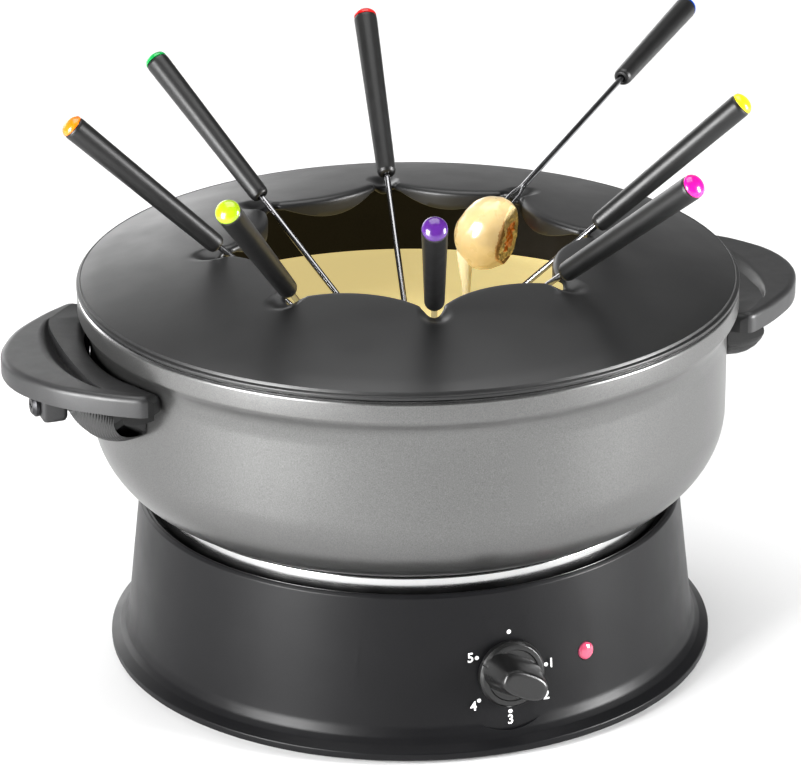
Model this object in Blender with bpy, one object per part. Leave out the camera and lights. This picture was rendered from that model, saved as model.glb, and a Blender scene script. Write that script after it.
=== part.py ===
"""Electric fondue set: heated stand, lift-off bowl, guard ring and eight forks.

Frame: metres, +Z up, origin on the table under the bowl's centre. The side
handles lie along X and the thermostat dial faces -Y.
"""
import math

import bmesh
import bpy
from mathutils import Matrix, Vector

MM = 0.001

# ---------------------------------------------------------------- dimensions
WALL_SLOPE = 0.1143            # the stand's wall leans in by this much per mm
WALL_R0, WALL_Z0 = 115.7, 21.0
DIAL_Z = 32.0                  # height of the dial's centre
DIAL_TILT = math.atan(WALL_SLOPE)
DIAL_PAD_R = 23.5
LAMP_Z, LAMP_AZ = 33.0, math.radians(-72.7)
INLET_Z, INLET_AZ = 26.0, math.radians(90.0)
SCREW_AZ = (30.0, 150.0, 240.0)
FOOT_AZ = (45.0, 135.0, 225.0, 315.0)

BOWL_R = 128.5                 # outside of the bowl's upright wall
BOWL_FLOOR_Z = 70.0
BOWL_FLAT_R = 93.0
BOWL_TURN_Z = 104.0
BOWL_INNER_R = 125.9
BOWL_INNER_Z = 74.0

LID_TOP_Z = 171.5
SMOOTH_ANGLE = 30.0            # edges sharper than this stay crisp, degrees
OPEN_APEX_R = 60.5             # petals of the opening reach in to here
OPEN_NOTCH_R = 77.6            # fork notches reach out to here
PETAL_R = 46.4
NOTCH_HALF = 4.85              # half width of a fork notch
NOTCH_FILLET = 4.0
NOTCH_AZ0 = -102.1             # azimuth of the first notch, degrees
LIP_DEPTH = 7.7

FORK_PASS_Z = 172.7            # a fork's axis crosses its notch at this height
FORK_STEEL = 135.0             # bare steel below the handle
FORK_HEAD = 26.0
FORK_HANDLE = 77.0
FORK_CAP = 3.2

# notch index, colour name, side shift, turn off radial, rise, height shift,
# distance from the notch to the handle's lower end, roll about its own axis
FORKS = (
    (0, "purple", -0.2, -7.8, 41.3, 0.3, 1.8, 0.0),
    (1, "magenta", -0.5, -1.8, 39.1, 2.1, -0.9, 87.0),
    (2, "yellow", 0.1, -12.9, 42.7, 1.4, -1.0, -2.0),
    (3, "blue", -1.1, 12.1, 8.4, -0.3, 108.3, 0.0),
    (4, "red", -1.6, 1.5, 42.5, 0.8, -1.4, 14.0),
    (5, "green", -1.7, -7.6, 35.4, 1.0, -0.9, 0.0),
    (6, "orange", 0.5, 1.2, 43.5, 1.9, -2.2, -8.0),
    (7, "lime", 0.9, 17.0, 41.7, 1.8, -1.9, -4.0),
)

CAP_COLOURS = {
    "purple": (0.10, 0.02, 0.22), "magenta": (0.70, 0.01, 0.25),
    "yellow": (0.75, 0.62, 0.02), "blue": (0.02, 0.12, 0.55),
    "red": (0.60, 0.02, 0.02), "green": (0.02, 0.30, 0.06),
    "orange": (0.85, 0.22, 0.01), "lime": (0.45, 0.62, 0.02),
}


# ------------------------------------------------------------------- helpers
def clear_scene():
    for obj in list(bpy.data.objects):
        bpy.data.objects.remove(obj, do_unlink=True)


def material(name, colour, roughness, metallic=0.0):
    mat = bpy.data.materials.new(name)
    mat.use_nodes = True
    bsdf = mat.node_tree.nodes["Principled BSDF"]
    bsdf.inputs["Base Color"].default_value = (*colour, 1.0)
    bsdf.inputs["Roughness"].default_value = roughness
    bsdf.inputs["Metallic"].default_value = metallic
    return mat


def mesh_object(name, verts, faces, place=None):
    """A mesh object from millimetre coordinates, moved by `place` (mm)."""
    mesh = bpy.data.meshes.new(name)
    bm = bmesh.new()
    made = []
    for v in verts:
        p = Vector(v)
        made.append(bm.verts.new((place @ p if place else p) * MM))
    for f in faces:
        bm.faces.new([made[i] for i in f])
    bmesh.ops.remove_doubles(bm, verts=bm.verts, dist=1e-7)
    bmesh.ops.recalc_face_normals(bm, faces=bm.faces)
    if bm.calc_volume(signed=True) < 0:
        bmesh.ops.reverse_faces(bm, faces=bm.faces)
    bm.to_mesh(mesh)
    bm.free()
    obj = bpy.data.objects.new(name, mesh)
    bpy.context.scene.collection.objects.link(obj)
    return obj


def lathe(name, profile, segments, place=None, closed=True):
    """Turn a profile of (radius, height) points about the local Z axis.

    A closed profile makes a ring; an open one starts and ends on the axis.
    """
    verts, rows, faces = [], [], []
    for radius, height in profile:
        if radius == 0.0:
            rows.append([len(verts)] * segments)
            verts.append((0.0, 0.0, height))
            continue
        row = []
        for k in range(segments):
            a = 2.0 * math.pi * k / segments
            row.append(len(verts))
            verts.append((radius * math.cos(a), radius * math.sin(a), height))
        rows.append(row)
    pairs = list(zip(rows, rows[1:]))
    if closed:
        pairs.append((rows[-1], rows[0]))
    for lower, upper in pairs:
        for k in range(segments):
            n = (k + 1) % segments
            quad = [lower[k], lower[n], upper[n], upper[k]]
            face = [v for i, v in enumerate(quad) if v not in quad[:i]]
            faces.append(face)
    return mesh_object(name, verts, faces, place)


def loft(name, sections, place=None):
    """Skin a stack of outlines that all have the same number of points."""
    n = len(sections[0])
    verts = [p for section in sections for p in section]
    faces = [list(range(n)), [len(verts) - n + k for k in range(n)]]
    for s in range(len(sections) - 1):
        for k in range(n):
            m = (k + 1) % n
            faces.append([s * n + k, s * n + m, (s + 1) * n + m, (s + 1) * n + k])
    return mesh_object(name, verts, faces, place)


def loop_skin(name, sections):
    """Skin closed sections around a closed path."""
    count, n = len(sections), len(sections[0])
    verts = [p for section in sections for p in section]
    faces = []
    for s in range(count):
        t = (s + 1) % count
        for k in range(n):
            m = (k + 1) % n
            faces.append([s * n + k, s * n + m, t * n + m, t * n + k])
    return mesh_object(name, verts, faces)


def box(name, low, high, place=None):
    (x0, y0, z0), (x1, y1, z1) = low, high
    outline = ((x0, y0), (x1, y0), (x1, y1), (x0, y1))
    return loft(name, [[(x, y, z) for x, y in outline] for z in (z0, z1)], place)


def rod(name, radius, z0, z1, sides, place=None):
    return lathe(name, [(0.0, z0), (radius, z0), (radius, z1), (0.0, z1)],
                 sides, place, closed=False)


def combine(target, other, operation):
    """Boolean `other` into `target` and drop it."""
    mod = target.modifiers.new(operation, "BOOLEAN")
    mod.operation = operation
    mod.solver = "EXACT"
    mod.object = other
    bpy.context.view_layer.update()
    graph = bpy.context.evaluated_depsgraph_get()
    mesh = bpy.data.meshes.new_from_object(target.evaluated_get(graph))
    target.modifiers.remove(mod)
    target.data = mesh
    bpy.data.objects.remove(other, do_unlink=True)
    return target


def cut(target, other):
    return combine(target, other, "DIFFERENCE")


def join(target, other):
    return combine(target, other, "UNION")


def finish(obj, colour, roughness, metallic=0.0, origin=None):
    """Give the part its material and move its origin to `origin` (mm)."""
    obj.data.materials.clear()
    obj.data.materials.append(material(obj.name + "_mat", colour, roughness, metallic))
    obj.data.shade_smooth()
    obj.data.set_sharp_from_angle(angle=math.radians(SMOOTH_ANGLE))
    if origin is not None:
        shift = Vector(origin) * MM
        obj.data.transform(Matrix.Translation(-shift))
        obj.location = shift
    return obj


def axis_frame(origin, axis, side):
    """Local Z along `axis`, local X along `side` (made square to the axis)."""
    z = Vector(axis).normalized()
    x = Vector(side)
    x = (x - z * x.dot(z)).normalized()
    y = z.cross(x)
    rot = Matrix((x, y, z)).transposed().to_4x4()
    return Matrix.Translation(Vector(origin)) @ rot


def wall_frame(azimuth, height, tilt, inset=0.0):
    """Frame on the stand's wall, local Z out of the wall, local Y up it."""
    radius = WALL_R0 - (height - WALL_Z0) * WALL_SLOPE - inset
    out = Vector((math.cos(azimuth) * math.cos(tilt),
                  math.sin(azimuth) * math.cos(tilt), math.sin(tilt)))
    across = Vector((-math.sin(azimuth), math.cos(azimuth), 0.0))
    return axis_frame((radius * math.cos(azimuth), radius * math.sin(azimuth), height),
                      out, across)


def polar(radius, degrees, z):
    a = math.radians(degrees)
    return (radius * math.cos(a), radius * math.sin(a), z)


BLACK = (0.018, 0.018, 0.019)
STEEL = (0.62, 0.62, 0.63)
ZINC = (0.45, 0.46, 0.47)


# --------------------------------------------------------------------- stand
def build_housing(dial, lamp, inlet):
    profile = [
        (122.8, 1.2), (124.0, 2.0), (124.0, 4.6), (120.3, 6.8), (118.2, 9.0),
        (116.8, 12.5), (115.7, 21.0), (110.7, 64.8), (109.6, 66.3), (108.0, 65.6),
        (107.4, 60.0),
        (101.5, 60.0), (101.5, 57.5), (108.5, 57.5), (112.6, 21.0), (114.0, 11.0),
        (118.0, 5.9), (120.9, 4.7), (120.9, 1.2),
    ]
    housing = lathe("base_housing", profile, 48)
    for az in SCREW_AZ:
        place = Matrix.Translation(polar(109.0, az, 0.0))
        join(housing, rod("post", 4.6, 4.4, 40.0, 10, place))
        cut(housing, rod("pilot", 2.1, 2.0, 20.0, 8, place))
    cut(housing, rod("pad", DIAL_PAD_R, 0.0, 25.0, 32, dial))
    cut(housing, rod("hole", 5.3, -12.0, 5.0, 20, dial))
    cut(housing, rod("hole", 3.8, -12.0, 5.0, 20, lamp))
    cut(housing, rod("hole", 6.0, -12.0, 5.0, 20, inlet))
    finish(housing, BLACK, 0.42)


def build_base_plate():
    plate = lathe("base_plate", [(0.0, 2.2), (120.3, 2.2), (120.3, 3.8), (0.0, 3.8)],
                  36, closed=False)
    for az in SCREW_AZ:
        cut(plate, rod("hole", 2.2, 0.0, 6.0, 8, Matrix.Translation(polar(109.0, az, 0.0))))
    for az in FOOT_AZ:
        cut(plate, rod("hole", 3.1, 0.0, 6.0, 8, Matrix.Translation(polar(96.0, az, 0.0))))
    finish(plate, ZINC, 0.45, 1.0)
    for i, az in enumerate(SCREW_AZ, 1):
        profile = [(0.0, 0.8), (3.6, 0.8), (3.9, 1.3), (3.9, 1.9), (1.8, 1.9),
                   (1.8, 15.0), (0.0, 16.5)]
        screw = lathe("base_screw_%d" % i, profile, 8,
                      Matrix.Translation(polar(109.0, az, 0.0)), closed=False)
        finish(screw, ZINC, 0.35, 1.0)
    for i, az in enumerate(FOOT_AZ, 1):
        profile = [(0.0, 0.0), (6.2, 0.0), (7.0, 0.8), (7.0, 1.9), (2.7, 1.9),
                   (2.7, 4.2), (4.2, 4.2), (3.2, 6.0), (0.0, 6.0)]
        foot = lathe("foot_%d" % i, profile, 12,
                     Matrix.Translation(polar(96.0, az, 0.0)), closed=False)
        finish(foot, (0.03, 0.03, 0.03), 0.8)


def build_heater():
    dish_profile = [
        (25.0, 50.0), (96.5, 50.0), (96.5, 60.3), (105.2, 60.3), (105.2, 70.8),
        (104.1, 71.2), (104.1, 61.3), (95.4, 61.3), (95.4, 51.1), (25.0, 51.1),
    ]
    dish = lathe("reflector_dish", dish_profile, 40)
    leads = [polar(60.0, az, 0.0) for az in (80.0, 100.0)]
    for lead in leads:
        cut(dish, rod("hole", 4.2, 40.0, 55.0, 12, Matrix.Translation(lead)))
    finish(dish, (0.80, 0.80, 0.80), 0.15, 1.0)

    plate_profile = [
        (0.0, 64.0), (84.0, 64.0), (84.0, 51.4), (88.0, 51.4), (88.0, 68.7),
        (87.0, 69.7), (0.0, 69.7),
    ]
    plate = lathe("heating_plate", plate_profile, 32, closed=False)
    finish(plate, (0.35, 0.35, 0.36), 0.5, 1.0)

    path = [Vector((leads[1][0], leads[1][1], 42.0))]
    for k in range(29):
        path.append(Vector(polar(60.0, 100.0 + k * 340.0 / 28, 60.2)))
    path.append(Vector((leads[0][0], leads[0][1], 42.0)))
    sections = []
    for i, p in enumerate(path):
        ahead = path[min(i + 1, len(path) - 1)] - path[max(i - 1, 0)]
        if i in (0, len(path) - 1):
            ahead = Vector((0.0, 0.0, 1.0 if i == 0 else -1.0))
        radial = Vector((p.x, p.y, 0.0)).normalized()
        place = axis_frame(p, ahead, radial)
        sections.append([tuple(place @ Vector((3.2 * math.cos(a), 3.2 * math.sin(a), 0.0)))
                         for a in (2 * math.pi * k / 6 for k in range(6))])
    element = loft("heating_element", sections)
    finish(element, (0.30, 0.28, 0.26), 0.5, 1.0)

    fuse_place = axis_frame((0.0, -24.0, 59.8), (0.0, 1.0, 0.0), (1.0, 0.0, 0.0))
    fuse = lathe("thermal_fuse", [(0.0, -11.0), (1.0, -11.0), (1.0, -8.0), (3.2, -8.0),
                                  (3.2, 8.0), (1.0, 8.0), (1.0, 11.0), (0.0, 11.0)],
                 12, fuse_place, closed=False)
    finish(fuse, (0.70, 0.66, 0.55), 0.5)


def build_controls(dial, lamp, inlet):
    body = box("thermostat_body", (-17.0, -11.0, -26.0), (17.0, 11.0, -5.2), dial)
    join(body, rod("neck", 5.0, -7.0, 3.1, 16, dial))
    cut(body, rod("bore", 3.4, -14.0, 6.0, 12, dial))
    finish(body, (0.55, 0.50, 0.42), 0.55)

    hexagon = [(8.0 * math.cos(a), 8.0 * math.sin(a))
               for a in (math.pi * k / 3 for k in range(6))]
    nut = loft("thermostat_nut", [[(x, y, z) for x, y in hexagon] for z in (0.3, 2.7)], dial)
    cut(nut, rod("bore", 5.3, -1.0, 4.0, 20, dial))
    finish(nut, ZINC, 0.35, 1.0)

    spindle = rod("thermostat_spindle", 3.0, -12.0, 13.0, 12, dial)
    finish(spindle, STEEL, 0.35, 1.0, origin=dial @ Vector((0, 0, 0)))

    skirt = [(0.0, 0.7), (13.0, 0.7), (13.4, 1.1), (13.4, 3.3), (12.4, 4.7),
             (0.0, 5.3)]
    knob = lathe("knob", skirt, 28, dial, closed=False)
    turn = dial @ Matrix.Rotation(KNOB_TURN, 4, "Z")
    join(knob, loft("grip", grip_sections(), turn))
    cut(knob, rod("bore", 3.3, -1.0, 13.4, 12, dial))
    cut(knob, rod("recess", 10.4, -1.0, 3.5, 16, dial))
    finish(knob, BLACK, 0.38, origin=dial @ Vector((0, 0, 0)))

    lens = lathe("indicator_lens",
                 [(0.0, -4.6), (5.0, -4.6), (5.0, -3.5), (3.5, -3.5), (3.5, 0.5),
                  (2.8, 1.1), (1.5, 1.5), (0.0, 1.6)], 20, lamp, closed=False)
    finish(lens, (0.55, 0.03, 0.06), 0.15)
    bulb = lathe("indicator_lamp",
                 [(0.0, -20.0), (3.4, -20.0), (3.4, -12.0), (2.4, -11.0), (2.4, -6.6),
                  (1.2, -5.3), (0.0, -5.1)], 14, lamp, closed=False)
    finish(bulb, (0.80, 0.55, 0.35), 0.25)

    block = box("terminal_block", (-18.0, 54.0, 4.1), (18.0, 70.0, 17.0))
    for x in (-12.0, 0.0, 12.0):
        cut(block, rod("clamp", 2.2, 8.0, 20.0, 12, Matrix.Translation((x, 62.0, 0.0))))
    finish(block, (0.75, 0.73, 0.68), 0.5)
    grommet = lathe("cord_inlet",
                    [(3.2, -9.0), (7.4, -8.2), (7.4, -3.9), (5.7, -3.9), (5.7, 0.3),
                     (8.2, 0.3), (7.4, 3.2), (3.2, 4.0)], 20, inlet)
    finish(grommet, (0.02, 0.02, 0.02), 0.65)


KNOB_TURN = math.radians(-27.0)     # the grip's long axis, from the dial's X


def grip_sections():
    """Rounded bar of the knob, narrowing towards its top."""
    levels = ((4.6, 12.6, 6.9), (11.0, 11.6, 5.4), (17.2, 10.6, 4.1), (18.4, 9.7, 3.2))
    out = []
    for z, half, width in levels:
        section = []
        for k in range(16):
            a = 2.0 * math.pi * k / 16
            c, s = math.cos(a), math.sin(a)
            section.append((half * math.copysign(abs(c) ** 0.75, c),
                            width * math.copysign(abs(s) ** 0.75, s), z))
        out.append(section)
    return out


# ---------------------------------------------------------------------- bowl
def bowl_profile():
    turn = 7
    outer = [(0.0, BOWL_FLOOR_Z)]
    for k in range(turn + 1):
        t = math.pi / 2 * (1.0 - k / turn)
        outer.append((BOWL_FLAT_R + (BOWL_R - BOWL_FLAT_R) * math.cos(t),
                      BOWL_TURN_Z - (BOWL_TURN_Z - BOWL_FLOOR_Z) * math.sin(t)))
    rim = [(128.5, 135.5), (129.2, 142.0), (132.3, 146.2), (132.9, 147.4), (132.9, 154.6),
           (131.6, 156.1), (128.6, 154.6), (BOWL_INNER_R, 148.0)]
    inner = []
    for k in range(turn + 1):
        t = math.pi / 2 * k / turn
        inner.append((BOWL_FLAT_R - 1.0 + (BOWL_INNER_R - BOWL_FLAT_R + 1.0) * math.cos(t),
                      BOWL_TURN_Z - (BOWL_TURN_Z - BOWL_INNER_Z) * math.sin(t)))
    inner.append((0.0, BOWL_INNER_Z))
    return outer + rim + inner


def build_bowl():
    bowl = lathe("bowl", bowl_profile(), 48, closed=False)
    for side in (-1.0, 1.0):
        place = Matrix.Rotation(0.0 if side > 0 else math.pi, 4, "Z")
        join(bowl, box("lug", (127.0, -9.0, 115.0), (136.0, 9.0, 130.0), place))
        bore = axis_frame(place @ Vector((0.0, 0.0, 122.5)),
                          place.to_3x3() @ Vector((1.0, 0.0, 0.0)), (0.0, 0.0, 1.0))
        cut(bowl, rod("bore", 2.3, 129.6, 140.0, 12, bore))
    finish(bowl, (0.42, 0.42, 0.42), 0.35, 0.6)


WING_HALF = (
    (167.5, 0.0), (167.2, 5.5), (166.2, 11.0), (164.4, 16.5), (161.7, 22.0),
    (157.9, 28.5), (153.2, 34.6), (146.4, 41.2), (138.6, 47.8), (131.8, 52.5),
    (127.8, 54.8), (125.2, 55.0), (122.4, 53.6),
)


def wing_outline():
    """Plan of a side handle, point by point round its edge."""
    half = list(WING_HALF)
    for k in range(8):
        deg = 23.0 * (1.0 - k / 8)
        radius = 131.5 - 2.1 * (deg / 23.0) ** 2
        half.append(polar(radius, deg, 0.0)[:2])
    lower = [(x, -y) for x, y in reversed(half[1:])]
    return half + [(131.5, 0.0)] + lower


def inset_outline(points, amount):
    n = len(points)
    out = []
    for i in range(n):
        before, after = Vector(points[i - 1]), Vector(points[(i + 1) % n])
        along = (after - before).normalized()
        out.append((points[i][0] - along.y * amount, points[i][1] + along.x * amount))
    return out


def build_handles():
    outline = wing_outline()
    levels = ((133.6, 1.2), (134.4, 0.2), (135.2, 0.0), (140.4, 0.0), (141.6, 0.4),
              (142.3, 1.5))
    for side, tag in ((1.0, "right"), (-1.0, "left")):
        place = Matrix.Rotation(0.0 if side > 0 else math.pi, 4, "Z")
        wing = loft("handle_" + tag,
                    [[(x, y, z) for x, y in inset_outline(outline, amount)]
                     for z, amount in levels], place)
        ridge, scoop = [], []
        for k in range(13):
            y = -38.0 + 76.0 * k / 12
            u = y / 38.0
            ridge.append((142.6 - 2.0 * u * u, y))
            scoop.append((142.6 - 2.0 * u * u + 6.2 * (1.0 - u * u) + 0.25, y))
        crescent = ridge + scoop[::-1]
        low = ridge + [(r[0] + 0.5 * (s[0] - r[0]), s[1])
                       for r, s in zip(ridge[::-1], scoop[::-1])]
        join_levels = [[(x, y, 138.9) for x, y in low], [(x, y, 143.5) for x, y in crescent]]
        cut(wing, loft("recess", join_levels, place))
        screw_axis = axis_frame(place @ Vector((0.0, 0.0, 122.5)),
                                place.to_3x3() @ Vector((1.0, 0.0, 0.0)), (0.0, 0.0, 1.0))
        join(wing, box("lug", (144.2, -7.0, 116.5), (154.5, 7.0, 135.0), place))
        cut(wing, rod("bore", 2.4, 140.0, 160.0, 12, screw_axis))
        finish(wing, (0.028, 0.028, 0.029), 0.5)

        sections = []
        steps = 12
        reach = 21.0
        for k in range(steps + 1):
            deg = -reach + 2.0 * reach * k / steps
            drop = 22.4 * math.sqrt(max(1.0 - (deg / (reach + 0.6)) ** 2, 0.0)) + 0.6
            section = []
            for radius, share in ((129.1, 0.0), (143.7, 0.0), (143.7, 0.35), (141.6, 0.7),
                                  (137.4, 0.93), (132.0, 1.0), (129.1, 1.0)):
                section.append(polar(radius, deg, 133.3 - drop * share))
            sections.append(section)
        bracket = loft("handle_bracket_" + tag, sections, place)
        cut(bracket, box("pocket", (125.0, -9.4, 114.6), (136.4, 9.4, 130.4), place))
        cut(bracket, rod("bore", 2.4, 130.0, 150.0, 12, screw_axis))
        finish(bracket, (0.022, 0.022, 0.023), 0.55)

        screw = lathe("handle_screw_" + tag,
                      [(0.0, 130.2), (2.0, 130.2), (2.0, 154.8), (4.6, 154.8),
                       (4.6, 156.2), (3.2, 157.6), (0.0, 157.6)], 12, screw_axis, closed=False)
        finish(screw, ZINC, 0.35, 1.0)


# ---------------------------------------------------------------- guard ring
def lid_height(radius):
    """Top surface of the guard ring: a shallow dome."""
    return LID_TOP_Z - 12.2 * (max(radius - 58.0, 0.0) / 74.0) ** 1.6


def notch_side():
    """Half a sector of the opening's edge, from mid petal to notch end.

    Points are in the notch's own frame: u outward along it, v across it.
    Each comes with the direction that points into the ring's material.
    """
    a = math.radians(22.5)
    reach = OPEN_APEX_R + PETAL_R
    cu, cv = reach * math.cos(a), reach * math.sin(a)
    fv = NOTCH_HALF + NOTCH_FILLET
    fu = cu - math.sqrt((PETAL_R - NOTCH_FILLET) ** 2 - (cv - fv) ** 2)
    start = math.atan2(-math.sin(a), -math.cos(a))
    end = math.atan2(fv - cv, fu - cu)
    out = []
    for k in range(5):
        t = start + (end - start) * k / 4
        out.append(((cu + PETAL_R * math.cos(t), cv + PETAL_R * math.sin(t)),
                    (-math.cos(t), -math.sin(t)), 1.0 - k / 4))
    t = end + (-math.pi / 2 - end) * 0.6
    out.append(((fu + NOTCH_FILLET * math.cos(t), fv + NOTCH_FILLET * math.sin(t)),
                (-math.cos(t), -math.sin(t)), 0.0))
    su = OPEN_NOTCH_R - NOTCH_HALF
    for k in range(3):
        t = math.pi / 2 * (1.0 - k / 2)
        out.append(((su + NOTCH_HALF * math.cos(t), NOTCH_HALF * math.sin(t)),
                    (math.cos(t), math.sin(t)), 0.0))
    return out


def opening_edge():
    """The whole opening: (point, inward-to-material normal, lip share)."""
    half = notch_side()
    edge = []
    for i in range(8):
        az = math.radians(NOTCH_AZ0 + 45.0 * i)
        c, s = math.cos(az), math.sin(az)
        lower = [((p[0], -p[1]), (n[0], -n[1]), w) for p, n, w in half]
        for (u, v), (nu, nv), w in lower + half[::-1][1:-1]:
            edge.append((Vector((c * u - s * v, s * u + c * v)),
                         Vector((c * nu - s * nv, s * nu + c * nv)), w))
    return edge


def build_guard_ring():
    thick = 2.2
    sections = []
    edge = opening_edge()
    for point, normal, weight in edge:
        angle = math.atan2(point.y, point.x)
        ray = Vector((math.cos(angle), math.sin(angle)))
        inner = point + normal * 2.6
        depth = thick + (LIP_DEPTH - thick) * math.sin(weight * math.pi / 2)
        top = lid_height(point.length)

        def at(p, z):
            return (p.x, p.y, z)

        def ring(radius, z):
            return at(ray * radius, z)

        far = ray * 104.0
        section = [
            ring(125.4, 150.6), ring(125.4, 156.4), ring(133.0, 156.4), ring(133.0, 158.0),
            ring(132.0, 158.3), ring(131.6, 159.3),
            at(far, lid_height(104.0)),
            at(inner, lid_height(inner.length)), at(point + normal * 0.8, top - 0.5),
            at(point, top - 1.6), at(point, top - depth),
            at(point + normal * 1.8, top - depth - 0.01),
            at(inner + normal * 1.2, lid_height(inner.length) - thick),
            at(far, lid_height(104.0) - thick), ring(123.4, 157.6), ring(123.4, 150.6),
        ]
        sections.append(section)
    ring_obj = loop_skin("guard_ring", sections)
    finish(ring_obj, BLACK, 0.45)


# --------------------------------------------------------------------- forks
def fork_frame(index, side, turn, rise, lift, roll):
    """Frame of a fork: origin where it passes its notch, local Z up the fork."""
    az = math.radians(NOTCH_AZ0 + 45.0 * index)
    spot = Vector((OPEN_NOTCH_R * math.cos(az) - side * math.sin(az),
                   OPEN_NOTCH_R * math.sin(az) + side * math.cos(az), FORK_PASS_Z + lift))
    way = az + math.radians(turn)
    up = math.radians(rise)
    axis = Vector((math.cos(up) * math.cos(way), math.cos(up) * math.sin(way), math.sin(up)))
    level = Vector((-math.sin(way), math.cos(way), 0.0))
    spin = math.radians(roll)
    across = level * math.cos(spin) + axis.cross(level) * math.sin(spin)
    return axis_frame(spot, axis, across)


def build_fork(number, index, colour, side, turn, rise, lift, grip, roll):
    frame = fork_frame(index, side, turn, rise, lift, roll)
    origin = frame @ Vector((0, 0, 0))
    tip = grip - FORK_STEEL
    neck = tip + FORK_HEAD
    outline = [
        (0.0, neck + 3.0), (1.2, neck), (2.7, neck - 6.0), (2.8, tip + 6.0), (2.2, tip),
        (1.4, tip + 6.0), (1.0, neck - 9.5), (-1.0, neck - 9.5), (-1.4, tip + 6.0),
        (-2.2, tip), (-2.8, tip + 6.0), (-2.7, neck - 6.0), (-1.2, neck),
    ]
    half = 0.7
    steel = loft("fork_steel_%d" % number,
                 [[(x, y, z) for x, z in outline] for y in (-half, half)], frame)
    join(steel, rod("shaft", 1.25, neck - 4.0, grip + 24.0, 8, frame))
    finish(steel, (0.60, 0.60, 0.61), 0.2, 1.0, origin=origin)

    handle = lathe("fork_handle_%d" % number,
                   [(1.6, grip), (3.2, grip), (4.0, grip + 1.2), (4.95, grip + FORK_HANDLE),
                    (2.5, grip + FORK_HANDLE), (2.5, grip + FORK_HANDLE - 6.0),
                    (1.6, grip + FORK_HANDLE - 8.0)], 10, frame)
    finish(handle, (0.015, 0.015, 0.016), 0.45, origin=origin)

    top = grip + FORK_HANDLE + 0.2
    cap = lathe("fork_cap_%d" % number,
                [(0.0, top - 5.0), (2.2, top - 5.0), (2.2, top), (4.85, top),
                 (4.2, top + 1.8), (2.5, top + 2.8), (0.0, top + FORK_CAP)],
                10, frame, closed=False)
    finish(cap, CAP_COLOURS[colour], 0.2, origin=origin)


def main():
    clear_scene()
    dial = wall_frame(math.radians(-90.0), DIAL_Z, DIAL_TILT, inset=0.3)
    lamp = wall_frame(LAMP_AZ, LAMP_Z, DIAL_TILT)
    inlet = wall_frame(INLET_AZ, INLET_Z, DIAL_TILT)
    build_housing(dial, lamp, inlet)
    build_base_plate()
    build_heater()
    build_controls(dial, lamp, inlet)
    build_bowl()
    build_handles()
    build_guard_ring()
    for number, fork in enumerate(FORKS, 1):
        build_fork(number, *fork)


main()
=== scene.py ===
"""Looks of the electric fondue set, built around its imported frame.

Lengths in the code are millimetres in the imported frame; MM turns them into metres.
The side handles lie along X, the dial faces -Y and the table is at Z = 0.
"""

import math

import bmesh
import bpy
import numpy as np
from mathutils import Matrix, Vector, noise


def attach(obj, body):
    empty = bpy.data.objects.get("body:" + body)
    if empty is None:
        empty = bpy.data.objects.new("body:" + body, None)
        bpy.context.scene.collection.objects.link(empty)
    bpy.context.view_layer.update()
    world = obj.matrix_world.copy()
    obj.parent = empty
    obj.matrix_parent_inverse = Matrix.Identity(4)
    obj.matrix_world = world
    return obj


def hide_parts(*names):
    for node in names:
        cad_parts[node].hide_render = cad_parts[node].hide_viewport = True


MM = 0.001

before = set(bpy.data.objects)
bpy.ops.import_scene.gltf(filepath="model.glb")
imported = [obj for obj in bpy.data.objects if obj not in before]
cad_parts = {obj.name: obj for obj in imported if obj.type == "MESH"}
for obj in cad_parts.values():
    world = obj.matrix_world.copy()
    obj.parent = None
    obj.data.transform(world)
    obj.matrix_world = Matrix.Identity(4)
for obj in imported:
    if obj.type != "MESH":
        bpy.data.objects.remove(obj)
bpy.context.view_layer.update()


# ------------------------------------------------------------------ materials
def node(tree, kind, **values):
    made = tree.nodes.new(kind)
    for key, value in values.items():
        if key in made.inputs:
            made.inputs[key].default_value = value
        else:
            setattr(made, key, value)
    return made


def noise_at(tree, coords, scale, detail=2.0, roughness=0.5):
    tex = node(tree, "ShaderNodeTexNoise", Scale=scale, Detail=detail, Roughness=roughness)
    tree.links.new(coords, tex.inputs["Vector"])
    return tex.outputs["Fac"]


def spread(tree, value, low, high, from_low=0.3, from_high=0.7):
    ramp = node(tree, "ShaderNodeMapRange")
    ramp.inputs["From Min"].default_value = from_low
    ramp.inputs["From Max"].default_value = from_high
    ramp.inputs["To Min"].default_value = low
    ramp.inputs["To Max"].default_value = high
    tree.links.new(value, ramp.inputs["Value"])
    return ramp.outputs["Result"]


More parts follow.
